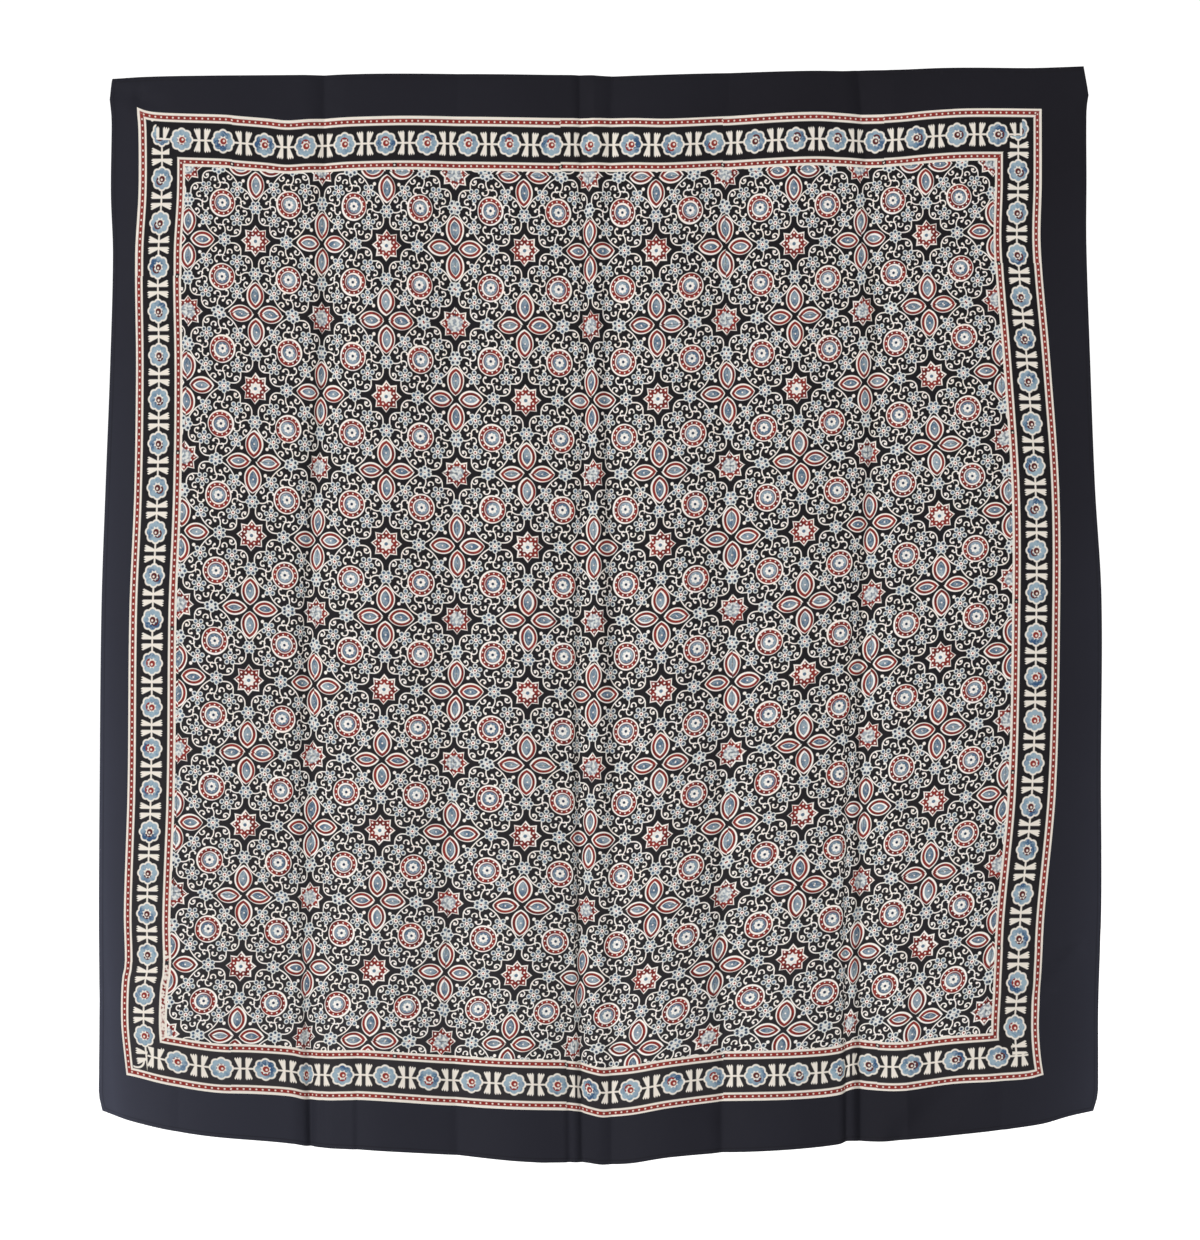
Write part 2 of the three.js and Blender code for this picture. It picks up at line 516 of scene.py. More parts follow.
def buildCloth():
    across, down = cloth["cellsAcross"], cloth["cellsDown"]
    marks = [fold["line"][-1] for fold in (*creases.values(), *fineCreases.values())]
    lines = gridLines(across, -sides[-1]["left"], sides[-1]["right"], marks)
    drop = cloth["flat"][1]
    rows = [clothRow(place / drop, lines) for place in gridLines(down, 0, drop, [])]
    shape = bmesh.new()
    kept = {name: shape.verts.layers.float_vector.new(name) for name in layers}
    bmesh.ops.create_grid(shape, x_segments=across, y_segments=down, size=0.5)
    for vert in shape.verts:
        column = round((vert.co.x + 0.5) * across)
        spot = rows[round((0.5 - vert.co.y) * down)][column]
        vert.co = Vector((spot["x"], spot["y"], -spot["depth"])) * mm
        for name in layers:
            vert[kept[name]] = spot[name]
    bmesh.ops.recalc_face_normals(shape, faces=shape.faces[:])
    if sum(face.normal.y for face in shape.faces) > 0:
        bmesh.ops.reverse_faces(shape, faces=shape.faces[:])
    shape.normal_update()

    # The back is a copy of the face, moved back by the sheet's thickness, which grows at the turned hem
    count = len(shape.verts)
    inward = [vert.normal.copy() for vert in shape.verts]
    made = bmesh.ops.extrude_face_region(shape, geom=shape.faces[:], use_keep_orig=True)
    backs = [part for part in made["geom"] if isinstance(part, bmesh.types.BMVert)]
    shape.verts.index_update()
    uv = shape.loops.layers.uv.new("OFBake")
    for vert, partner in zip(backs, range(count)):
        edge = min(vert[kept["clothAt"]].x, vert[kept["clothAt"]].y)
        hem = max(0.0, 1 - (edge / cloth["hemWide"]) ** 4) if edge < cloth["hemWide"] else 0.0
        thick = cloth["sheet"] + (cloth["hemThick"] - cloth["sheet"]) * hem
        vert.co = vert.co - inward[partner] * thick * mm
        vert[kept["stripAt"]] = (*vert[kept["stripAt"]].xy, 1)
    bmesh.ops.recalc_face_normals(shape, faces=shape.faces[:])

    # The map that the looks are baked through has the face in one half and the back in the other
    wide, high = cloth["flat"]
    for face in shape.faces:
        isBack = sum(vert[kept["stripAt"]].z for vert in face.verts) > 3.5
        face.smooth = True
        for loop in face.loops:
            flat = loop.vert[kept["flatAt"]]
            share = min(max(flat.y / (high + 20), 0.0), 1.0)
            start = 0.502 if isBack else 0.002
            loop[uv].uv = (0.002 + 0.996 * min(flat.x / (wide + 60), 1.0), start + 0.496 * share)
    print("cloth:", len(shape.verts), "points,", len(shape.faces), "faces")
    mesh = bpy.data.meshes.new("ajrakhCloth")
    shape.to_mesh(mesh)
    shape.free()
    piece = bpy.data.objects.new("ajrakhCloth", mesh)
    bpy.context.collection.objects.link(piece)
    return piece


class Value:  # a shader socket; arithmetic on it adds Math nodes
    def __init__(self, paint, socket):
        self.paint = paint
        self.socket = socket

    def math(self, operation, *others, clamp=False):
        return self.paint.node("Math", {"operation": operation, "use_clamp": clamp}, [self, *others])

    def __add__(self, other):
        return self.math("ADD", other)

    __radd__ = __add__

    def __mul__(self, other):
        return self.math("MULTIPLY", other)

    __rmul__ = __mul__

    def __sub__(self, other):
        return self.math("SUBTRACT", other)

    def __rsub__(self, other):
        return self.paint.node("Math", {"operation": "SUBTRACT"}, [other, self])

    def __truediv__(self, other):
        return self.math("DIVIDE", other)

    def __gt__(self, other):
        return self.math("GREATER_THAN", other)

    def __lt__(self, other):
        return self.math("LESS_THAN", other)

    def __abs__(self):
        return self.math("ABSOLUTE")


class Paint:  # makes the nodes of one material, or of the world
    def __init__(self, name, owner=None):
        self.owner = owner or bpy.data.materials.new(name)
        self.owner.use_nodes = True
        self.tree = self.owner.node_tree
        self.tree.nodes.clear()

    def finish(self, surface, kind="Material"):
        self.node("Output" + kind, {}, [surface], None)

    def node(self, kind, settings=None, sockets=(), output=0):
        made = self.tree.nodes.new("ShaderNode" + kind)
        for name, value in (settings or {}).items():
            setattr(made, name, value)
        given = sockets.items() if isinstance(sockets, dict) else enumerate(sockets)
        for name, value in given:
            if isinstance(value, Value):
                self.tree.links.new(value.socket, made.inputs[name])
            else:
                made.inputs[name].default_value = value
        return None if output is None else Value(self, made.outputs[output])

    def vector(self, operation, *vectors):
        return self.node("VectorMath", {"operation": operation}, vectors)

    def distance(self, place, x, y):
        return self.node("VectorMath", {"operation": "DISTANCE"}, [place, (x, y, 0)], "Value")

    def length(self, place):
        return self.node("VectorMath", {"operation": "LENGTH"}, [place], "Value")

    def dot(self, place, x, y):
        return self.node("VectorMath", {"operation": "DOT_PRODUCT"}, [place, (x, y, 0)], "Value")

    def parts(self, place):
        split = self.node("SeparateXYZ", sockets=[place])
        return split, Value(self, split.socket.node.outputs[1]), Value(self, split.socket.node.outputs[2])

    def join(self, x, y):
        return self.node("CombineXYZ", sockets=[x, y])

    def attribute(self, name):
        return self.node("Attribute", {"attribute_name": name}, output="Vector")

    def noise(self, place, scale, detail=0.0, output="Fac"):
        settings = {"noise_dimensions": "2D"}
        return self.node("TexNoise", settings, {"Vector": place, "Scale": scale, "Detail": detail}, output)

    def mix(self, factor, under, over):
        return self.node("Mix", {"data_type": "RGBA"}, {0: factor, 6: under, 7: over}, 2)

    def least(self, first, *others):
        for other in others:
            first = first.math("MINIMUM", other)
        return first

    def most(self, first, *others):
        for other in others:
            first = first.math("MAXIMUM", other)
        return first

    def inside(self, edge, soft):  # 1 where edge is below 0, with a soft step of that half width
        return edge.math("MULTIPLY_ADD", -0.5 / soft, 0.5, clamp=True)


def srgb(red, green, blue):  # a colour as seen on a screen, 0 to 255, as the shader's linear one
    def linear(level):
        share = level / 255
        return share / 12.92 if share <= 0.04045 else ((share + 0.055) / 1.055) ** 2.4

    return (linear(red), linear(green), linear(blue), 1.0)


# The dyes, as seen on a screen by light of strength 1. The pale navy, pale black and light cream are the
# navy, black and cream under painted sheen and painted light
dyes = {
    "navy": srgb(27, 26, 32),
    # painted sheen on the navy
    "navySheenColour": srgb(64, 66, 79),
    "black": srgb(26, 24, 27),
    # painted sheen on the black
    "blackSheenColour": srgb(62, 59, 62),
    "cream": srgb(246, 240, 236),
    "creamWarm": srgb(246, 235, 224),
    # painted light on the cream
    "creamPaintedLight": srgb(254, 249, 243),
    "creamBorder": srgb(233, 225, 214),
    "creamBlue": srgb(217, 219, 216),
    "red": srgb(142, 46, 40),
    "redDark": srgb(104, 34, 32),
    "blueDark": srgb(44, 58, 82),
    "blue": srgb(92, 114, 138),
    "bluePale": srgb(168, 182, 190),
    "skyDark": srgb(54, 84, 120),
    "sky": srgb(114, 142, 162),
    "skyPale": srgb(172, 190, 200),
    "heartDark": srgb(88, 36, 38),
    "backNavy": srgb(40, 41, 52),
}

# The field's repeat. Its unit is half the distance from star to star; each motif is placed from the nearest
# star, towards the four-leaf flower in x.
motif = {
    "line": 0.0077,
    "soft": 0.0045,
    "blockSlip": 0.026,
    "redSlip": 0.020,
    "carving": 0.018,
    "seam": 0.006,
    "starTip": 0.215,
    "starNotch": 0.155,
    "starOutline": 0.014,
    "starDots": ((0.150, 0.0), (0.1035, 0.0429)),
    "starDot": 0.0135,
    "heartTip": 0.096,
    "heartNotch": 0.070,
    "cornerHeart": 0.104,
    "starEye": 0.024,
    "axisFloret": 0.455,
    "axisPetals": ((0.0563, 0.0325), (0.0, 0.065)),
    "sideFloretMiddle": 0.499,
    "sideFloretOff": 0.228,
    "sideFloretUp": 0.2865,
    "sidePetals": ((0.0, 0.070), (0.0666, 0.0216), (0.0411, -0.0566)),
    "petal": 0.0198,
    "rim": 0.022,
    "lobe": 0.0342,
    "seamBlot": (0.09, 0.010),  # how near a seam the florets are printed over, and how much they grow
    "floretHeart": 0.030,
    "floretEye": 0.0135,
    "knob": ((0.820, 0.183, 0.023), (0.792, 0.212, 0.014)),
    "roundel": (0.490, 0.512),
    "roundelRings": (0.191, 0.172, 0.124, 0.106),
    "roundelDots": 13,
    "roundelDot": 0.0098,
    "roundelFlower": 0.060,
    "flowerLobes": 8,
    "flowerLobe": 0.006,
    "roundelEye": 0.020,
    "flatLeaf": {"x": 0.785, "y": -0.0841, "radius": 0.1996, "dot": (0.785, 0.0)},
    "tallLeaf": {"x": 1.0865, "y": 0.24, "radius": 0.2115, "dot": (1.0, 0.24)},
    "leafLayers": (0.016, 0.051, 0.070),
    "leafDot": 0.011,
    "frameCorner": (0.32, 0.15),
    "frameRadius": 0.104,
    "frameEnds": 0.45,
    "leafFrame": {"x": 0.398, "y": 0.3725, "radius": 0.3655, "starts": 0.54},
}

# Scrolls: the middle and radius of each arc, which way it faces and how far round it reaches, in degrees,
# and the ball at its end
scrolls = tableOf(
    ("middle", "radius", "faces", "reach", "ball"),
    ((0.268, 0.105), 0.038, 70, 95, (0.284, 0.098)),
    ((0.376, 0.165), 0.035, -90, 105, (0.404, 0.176)),
    ((0.5584, 0.1269), 0.1157, 170, 38, None),
    ((0.436, 0.242), 0.046, 60, 104, (0.403, 0.258)),
    ((0.5065, 0.326), 0.116, -90, 14, None),
    ((0.517, 0.190), 0.030, 0, 78, (0.522, 0.160)),
    ((0.552, 0.262), 0.048, -20, 85, (0.570, 0.300)),
    ((0.615, 0.130), 0.038, 95, 85, (0.593, 0.122)),
)
ball = 0.0165


def starEdge(paint, wedge, tip, notch):  # distance out from the edge of an eight-pointed star
    turn = math.radians(22.5)
    run = Vector((notch * math.cos(turn) - tip, notch * math.sin(turn))).normalized()
    return paint.dot(wedge, run.y, -run.x) - tip * run.y


def wedgeOf(paint, longer, shorter):  # folds a place into one sixteenth of the star
    turn = math.radians(22.5)
    eighth = paint.join(longer, shorter)
    beyond = paint.least(paint.dot(eighth, math.sin(turn), -math.cos(turn)), 0.0)
    return eighth, paint.vector(
        "MULTIPLY_ADD", beyond, (-2 * math.sin(turn), 2 * math.cos(turn), 0), eighth
    )


def scrollLine(paint, place):  # distance from the middle of the nearest scroll
    lines = []
    for scroll in scrolls:
        x, y = scroll["middle"]
        facing = math.radians(scroll["faces"])
        nx, ny = math.cos(facing), math.sin(facing)
        keep = scroll["radius"] * math.cos(math.radians(scroll["reach"])) + x * nx + y * ny
        ring = abs(paint.distance(place, x, y) - scroll["radius"])
        lines.append(paint.most(ring, keep - paint.dot(place, nx, ny)))
        if scroll["ball"]:
            lines.append(paint.distance(place, *scroll["ball"]) - (ball - motif["line"]))
    return paint.least(*lines)


def halfCell(paint, cell, flip):  # the lower half of the quarter block; the upper half is the same, turned
    return paint.vector("ABSOLUTE", paint.vector("MULTIPLY_ADD", flip, (-1, -1, 0), cell))


def leafDepth(paint, place):
    flat, tall = motif["flatLeaf"], motif["tallLeaf"]
    return paint.most(
        flat["radius"] - paint.distance(place, flat["x"], flat["y"]),
        tall["radius"] - paint.distance(place, tall["x"], tall["y"]),
    )


def fieldPlaces(paint):  # a place in its block, folded onto the part that repeats, and the motifs' outlines
    at = paint.attribute("fieldAt")
    block = paint.vector("FLOOR", paint.vector("MULTIPLY_ADD", at, (0.5, 0.5, 0), (0.5, 0.5, 0)))
    luck = paint.node("TexWhiteNoise", {"noise_dimensions": "2D"}, {"Vector": block}, "Color")
    luck = paint.vector("SUBTRACT", luck, (0.5, 0.5, 0.5))
    inBlock = paint.vector("MULTIPLY_ADD", block, (-2, -2, 0), at)
    slip, carve = motif["blockSlip"], motif["carving"]
    placed = paint.vector("MULTIPLY_ADD", luck, (slip, slip, 0), inBlock)
    placed = paint.vector("SUBTRACT", placed, (carve / 2, carve / 2, 0))
    carving = paint.noise(inBlock, 3.4, 0.0, "Color")
    placed = paint.vector("MULTIPLY_ADD", carving, (carve, carve, 0), placed)
    cell = paint.vector("ABSOLUTE", placed)
    _, v, _ = paint.parts(cell)
    flip = v > 0.5
    low = halfCell(paint, cell, flip)
    x, y, _ = paint.parts(low)
    longer, shorter = paint.most(x, y), paint.least(x, y)
    eighth, wedge = wedgeOf(paint, longer, shorter)
    seamX, seamY, _ = paint.parts(paint.vector("ABSOLUTE", inBlock))
    fromRoundel = paint.distance(cell, *motif["roundel"])
    leaf = leafDepth(paint, low)
    star = starEdge(paint, wedge, motif["starTip"], motif["starNotch"])
    return {
        "luck": luck,
        "placed": placed,
        "cell": cell,
        "flip": flip,
        "low": low,
        "sum": longer + shorter,
        "eighth": eighth,
        "wedge": wedge,
        "seamNear": paint.most(seamX, seamY),
        "fromRoundel": fromRoundel,
        "leaf": leaf,
        "outline": paint.least(star, fromRoundel - motif["roundelRings"][0], 0.0 - leaf),
    }


def groundPrint(paint, mottleAndPaintedLight, at):  # the florets, scrolls and frames between the motifs
    def inside(edge):
        return paint.inside(edge, motif["soft"])

    low = at["low"]
    x, y, _ = paint.parts(low)
    over = paint.most(at["sum"] - 1, 0.0)
    scroll = paint.vector("MULTIPLY_ADD", over, (-1, -1, 0), at["eighth"])
    scrollX, _, _ = paint.parts(scroll)
    onAxis = paint.vector("ABSOLUTE", paint.vector("SUBTRACT", scroll, (motif["axisFloret"], 0, 0)))
    sideX = abs(abs(x - motif["sideFloretMiddle"]) - motif["sideFloretOff"])
    beside = paint.join(sideX, y - motif["sideFloretUp"])
    petals = [paint.distance(onAxis, *petal) for petal in motif["axisPetals"]]
    petals += [paint.distance(beside, *petal) for petal in motif["sidePetals"]]
    petal = paint.least(*petals)
    floretEye = paint.least(paint.length(onAxis), paint.length(beside))
    blotFrom, blotGrows = motif["seamBlot"]
    blot = paint.node("MapRange", {}, {0: at["seamNear"], 1: 1 - blotFrom, 2: 1.0, 3: 0.0, 4: blotGrows})
    lobe = blot + motif["lobe"]

    corner = paint.vector("SUBTRACT", (*motif["frameCorner"], 0), scroll)
    corner = paint.vector("MAXIMUM", corner, (0, 0, 0))
    starFrame = paint.most(
        abs(paint.length(corner) - motif["frameRadius"]), scrollX - motif["frameEnds"]
    )
    arc = motif["leafFrame"]
    leafFrame = paint.most(
        abs(paint.distance(scroll, arc["x"], arc["y"]) - arc["radius"]), arc["starts"] - scrollX
    )
    lines = paint.least(scrollLine(paint, scroll), starFrame, leafFrame)
    for knobX, knobY, radius in motif["knob"]:
        lines = paint.least(lines, paint.distance(low, knobX, knobY) - (radius - motif["line"]))

    inFloret = inside(petal - lobe)
    cream = paint.least(lines - motif["line"], petal - lobe, floretEye - motif["floretHeart"], at["outline"])
    creamPaint = paint.mix(inFloret, mottleAndPaintedLight["cream"], dyes["creamBlue"])
    petalPaint = paint.mix(mottleAndPaintedLight["wash"], dyes["blue"], dyes["blueDark"])
    colour = paint.mix(inside(cream), mottleAndPaintedLight["black"], creamPaint)
    colour = paint.mix(inside(floretEye - motif["floretEye"]), colour, dyes["red"])
    colour = paint.mix(inside(petal - motif["petal"]), colour, petalPaint)
    return paint.mix(seamPrint(paint, mottleAndPaintedLight, at), colour, mottleAndPaintedLight["black"])


def seamPrint(paint, mottleAndPaintedLight, at):  # the thin dark line where two blocks meet
    return paint.inside(1 - at["seamNear"] - motif["seam"], 0.006) * mottleAndPaintedLight["patch"] * 0.7


def motifPrint(paint, mottleAndPaintedLight, at):  # the stars, roundels and leaves
    def inside(edge):
        return paint.inside(edge, motif["soft"])

    flip, wedge, fromRoundel = at["flip"], at["wedge"], at["fromRoundel"]
    u, v, _ = paint.parts(at["cell"])
    fromStar = paint.length(at["low"])
    starHeart = starEdge(paint, wedge, motif["heartTip"], motif["heartNotch"])
    roundX, roundY = motif["roundel"]
    _, redOuter, redInner, disc = motif["roundelRings"]
    angle = (v - roundY).math("ARCTAN2", u - roundX)
    turns = (angle * (motif["roundelDots"] / math.tau)).math("FRACT") - 0.5
    ringMiddle = (redOuter + redInner) / 2
    spacing = math.tau * ringMiddle / motif["roundelDots"]
    ringDots = paint.length(paint.join(turns * spacing, fromRoundel - ringMiddle))
    lobes = (angle * motif["flowerLobes"]).math("COSINE") * motif["flowerLobe"]
    flower = fromRoundel - (lobes + motif["roundelFlower"])
    leafDots = paint.least(
        *[paint.distance(at["low"], *motif[name]["dot"]) for name in ("flatLeaf", "tallLeaf")]
    )

    # The red block is printed a little off the others
    slip = motif["redSlip"]
    redPlaced = paint.vector("MULTIPLY_ADD", at["luck"], (-slip, slip, 0), at["placed"])
    redCell = paint.vector("ABSOLUTE", redPlaced)
    redLow = halfCell(paint, redCell, flip)
    redX, redY, _ = paint.parts(redLow)
    _, redWedge = wedgeOf(paint, paint.most(redX, redY), paint.least(redX, redY))
    redStar = starEdge(paint, redWedge, motif["starTip"], motif["starNotch"]) + motif["starOutline"]
    redRoundel = paint.distance(redCell, roundX, roundY)
    outline, redLayer, inner = motif["leafLayers"]
    redLeaf = abs(leafDepth(paint, redLow) - (outline + redLayer) / 2) - (redLayer - outline) / 2
    redRing = abs(redRoundel - ringMiddle) - (redOuter - redInner) / 2
    redDisc = paint.most(fromRoundel - disc, disc * 0.93 - redRoundel)

    blueEdge = paint.least(fromRoundel - disc, inner - at["leaf"])
    rim = blueEdge.math("MULTIPLY_ADD", 1 / motif["rim"], 1.0, clamp=True)
    tone = mottleAndPaintedLight["blots"] * 0.55 + mottleAndPaintedLight["tone"] * 0.45
    bluePaint = paint.mix(tone, dyes["blue"], dyes["bluePale"])
    bluePaint = paint.mix(paint.most(rim, 0.25) * mottleAndPaintedLight["wash"], bluePaint, dyes["blueDark"])
    redPaint = paint.mix(mottleAndPaintedLight["patch"], dyes["red"], dyes["redDark"])
    dots = paint.least(
        *[paint.distance(wedge, *dot) - motif["starDot"] for dot in motif["starDots"]],
        ringDots - motif["roundelDot"],
        leafDots - motif["leafDot"],
    )
    colour = paint.mix(inside(paint.least(redStar, redRing, redLeaf)), mottleAndPaintedLight["cream"], redPaint)
    colour = paint.mix(inside(blueEdge), colour, bluePaint)
    colour = paint.mix(inside(redDisc) * 0.8, colour, redPaint)
    colour = paint.mix(inside(dots), colour, mottleAndPaintedLight["cream"])
    heartPaint = paint.mix(mottleAndPaintedLight["blots"] * 0.6, mottleAndPaintedLight["cream"], dyes["creamBlue"])
    colour = paint.mix(inside(paint.least(starHeart, flower)), colour, heartPaint)
    colour = paint.mix(inside(fromStar - motif["starEye"]), colour, dyes["blue"])
    colour = paint.mix(inside(fromRoundel - motif["roundelEye"]), colour, dyes["blueDark"])

    # Where four blocks meet, the star's heart is printed over in patches
    cornerStar = flip * inside(fromStar - motif["cornerHeart"])
    cornerPaint = paint.mix(mottleAndPaintedLight["blots"] * 0.7, dyes["creamBlue"], dyes["blue"])
    colour = paint.mix(cornerStar * 0.85, colour, cornerPaint)
    return paint.mix(seamPrint(paint, mottleAndPaintedLight, at), colour, mottleAndPaintedLight["black"])


# The border's strip, in millimetres of flat cloth
strip = {
    "middle": 27.0,
    "pitch": 44.0,
    "soft": 0.4,
    "slip": 1.0,
    "outer": (24.5, 20.3, 18.0),  # cream, red and cream of the dotted lines, from the strip's middle
    "dotsPerFlower": 7,
    "dot": 0.92,
    "flower": 11.8,
    "flowerStops": 7.0,  # how much sooner than a leaf a flower stops at the strip's ends
    "lobe": 0.75,
    "outline": 1.9,
    "ring": 4.9,
    "ringTip": 0.8,
    "heart": 3.3,
    "eye": 1.15,
    "redRing": (3.4, 1.0),
    "redOff": 6.0,
    "stem": 0.95,
    "leafInner": 2.1,  # how far from halfway between the flowers a leaf starts
    "leafWide": (2.3, 0.43),  # its width at the stem and how that grows outwards
    "leafTop": 10.6,
    "tooth": 1.0,
    "toothWide": 2.3,
    "seamEvery": 4,
}


def stripPrint(paint, depth, phase, seamAt, ends):  # one direction of the border
    soft = strip["soft"]
    stamp = (phase - seamAt) / strip["seamEvery"]
    where = paint.join(stamp.math("FLOOR"), seamAt)
    luck = paint.node("TexWhiteNoise", {"noise_dimensions": "2D"}, {"Vector": where}, "Color")
    luckX, luckY, luckZ = paint.parts(paint.vector("SUBTRACT", luck, (0.5, 0.5, 0.5)))
    slipped = depth + luckX * strip["slip"]
    out = slipped - strip["middle"]
    fromFlower = ((phase + 0.5).math("FRACT") - 0.5) * strip["pitch"]
    place = paint.join(fromFlower, out)
    radius = paint.length(place)
    lobes = abs((out.math("ARCTAN2", fromFlower) * 4).math("COSINE"))
    flower = radius - (lobes * strip["lobe"] * 2 + strip["flower"] - strip["lobe"])
    ring = radius - (lobes * strip["ringTip"] * -2 + strip["ring"] + strip["ringTip"])
    up = abs(out)
    fromMiddle = strip["pitch"] / 2 - abs(fromFlower)
    leafWide = up * strip["leafWide"][1] + strip["leafWide"][0]
    share = (fromMiddle - strip["leafInner"]) / leafWide
    teeth = abs((fromMiddle * (math.pi / strip["toothWide"])).math("SINE")) * strip["tooth"] * 2
    leaf = paint.most((abs(share - 0.5) - 0.5) * leafWide, up + share * 0.8 - teeth - strip["leafTop"])
    within = paint.most(ends[0] - phase, phase - ends[1]) * strip["pitch"]
    flower = paint.most(flower, within + strip["flowerStops"])
    cream = paint.most(paint.least(flower, leaf, up - strip["stem"]), within)

    # The red block's ring is cut a little small and printed off the flower, so that a crescent of it shows
    heart = paint.distance(place, 0.4, 0.2)
    off = paint.vector("SUBTRACT", place, paint.join(luckY * strip["redOff"], luckZ * strip["redOff"]))
    crescent = paint.most(abs(paint.length(off) - strip["redRing"][0]) - strip["redRing"][1], ring * -1)
    return {
        "depth": slipped,
        "cream": paint.inside(cream, soft),
        "blue": paint.inside(paint.most(flower + strip["outline"], within), soft),
        "ring": paint.inside(ring, soft),
        "red": paint.inside(paint.least(heart - strip["heart"], crescent), soft),
        "eye": paint.inside(paint.distance(place, 1.0, -0.3) - strip["eye"], soft),
        "luck": luckY,
        "blot": paint.inside(abs((stamp + 0.5).math("FRACT") - 0.5) * 176 - 2.2, soft),
    }


def framePrint(paint, mottleAndPaintedLight):  # the border's flowers and its dotted lines
    acrossFrame, downFrame, _ = paint.parts(paint.attribute("frameAt"))
    wide, high = border["frame"]
    fromSide = paint.least(acrossFrame, wide - acrossFrame)
    fromEnd = paint.least(downFrame, (high - downFrame) * border["hemDeeper"])
    rowPhase, sidePhase, _ = paint.parts(paint.attribute("stripAt"))
    row = stripPrint(paint, fromEnd, rowPhase, border["rowSeam"], border["rowEnds"])
    side = stripPrint(paint, fromSide, sidePhase, border["sideSeam"], border["sideEnds"])
    inRow, inSide = fromEnd < border["flowersIn"], fromSide < border["flowersIn"]

    def mixed(factor, under, over):
        return paint.node("Mix", {"data_type": "FLOAT"}, {0: factor, 2: under, 3: over})

    # At the corners both directions are printed, and the later one covers part of the other
    def betweenPhases(ends):
        return (rowPhase > ends[0]) * (rowPhase < ends[1])

    outerHalf = fromEnd < overprint["outer"]
    atTop, atRight = sidePhase < border["halfway"], rowPhase > border["halfway"]
    left = (rowPhase > overprint["leftFrom"]) * (fromEnd < overprint["leftDeep"])
    left = paint.most(left, rowPhase > overprint["leftAll"])
    right = paint.most(outerHalf, rowPhase < overprint["rightTo"])
    top = outerHalf * betweenPhases(overprint["topOuter"])
    top = paint.most(top, betweenPhases(overprint["topInner"]))
    covers = mixed(atTop, mixed(atRight, left, right), top)
    useRow = inRow * paint.most(covers, 1 - inSide)

    def either(name):
        return mixed(useRow, side[name] * inSide, row[name])

    hook = border["hook"]
    hookLine = abs(paint.distance(paint.join(fromSide, fromEnd), *hook["middle"]) - hook["radius"])
    hookEdge = paint.most(hookLine - strip["stem"], fromEnd - hook["middle"][1], hook["from"] - fromSide)
    hooked = paint.inside(hookEdge, strip["soft"]) * (1 - atTop) * (1 - atRight)

    sideFirst = fromSide < fromEnd
    depth = mixed(sideFirst, row["depth"], side["depth"])
    phase = mixed(sideFirst, rowPhase, sidePhase)
    blot = mixed(sideFirst, row["blot"], side["blot"])
    fromMiddle = abs(depth - strip["middle"])
    redOut, redIn, creamIn = strip["outer"]
    soft = strip["soft"]
    lines = paint.inside(creamIn - fromMiddle, soft)
    redMiddle = (redOut + redIn) / 2
    redLine = paint.inside(abs(fromMiddle - redMiddle) - (redOut - redIn) / 2, soft)
    dotStep = strip["pitch"] / strip["dotsPerFlower"]
    dotAlong = ((phase * strip["dotsPerFlower"]).math("FRACT") - 0.5) * dotStep
    dots = paint.inside(paint.length(paint.join(dotAlong, fromMiddle - redMiddle)) - strip["dot"], soft)

    skyPaint = paint.mix(mottleAndPaintedLight["deep"], dyes["sky"], dyes["skyDark"])
    skyPaint = paint.mix(mottleAndPaintedLight["wash"] * 0.6, skyPaint, dyes["skyPale"])
    heartPaint = paint.mix(mixed(useRow, side["luck"], row["luck"]) > 0.05, dyes["red"], dyes["heartDark"])
    colour = paint.mix(paint.most(either("cream"), hooked), mottleAndPaintedLight["black"], dyes["creamBorder"])
    colour = paint.mix(either("blue"), colour, skyPaint)
    colour = paint.mix(either("ring"), colour, dyes["creamBorder"])
    colour = paint.mix(either("red"), colour, heartPaint)
    colour = paint.mix(either("eye"), colour, dyes["creamBorder"])
    colour = paint.mix(lines, colour, dyes["creamBorder"])
    redPaint = paint.mix(mottleAndPaintedLight["patch"] * 0.5, dyes["red"], dyes["redDark"])
    inner = depth > strip["middle"]

    # Low on the left the inner line is worn, and the cream shows through its red
    wornFrom, wornTo = border["worn"]
    worn = (sidePhase > wornFrom) * (sidePhase < wornTo) * sideFirst * (1 - atRight) * inner
    wornPaint = paint.mix(mottleAndPaintedLight["blots"] * mottleAndPaintedLight["patch"], dyes["creamBorder"], redPaint)
    colour = paint.mix(redLine, colour, paint.mix(worn * 0.9, redPaint, wornPaint))
    colour = paint.mix(redLine * blot * inner, colour, mottleAndPaintedLight["black"])
    colour = paint.mix(dots * redLine * (1 - worn), colour, dyes["creamBorder"])
    nearest = paint.least(fromSide, fromEnd)
    return colour, depth, nearest


# How the dyes vary over the cloth: the scales of their spots, and how much painted sheen lightens the navy
# and the black
fadingAndSheen = {
    "spots": 0.33,
    "patches": 0.065,
    "broad": 0.006,
    "navySheenLeft": (0.45, 0.85),  # painted sheen towards the left, and more so lower down
    "navySheenLower": 0.22,
    "navyBroad": 0.25,
    "navySheenLeftEdge": 3.4,
    "navySheenRightEdge": (0.2, 0.95),
    "navySheenFull": 2.8,
    # painted sheen on the black, lower down and towards the left
    "blackSheenLower": (0.34, 0.30),
    "blackSheenLeft": 0.10,
    "hem": 0.45,
    "back": 0.35,
}


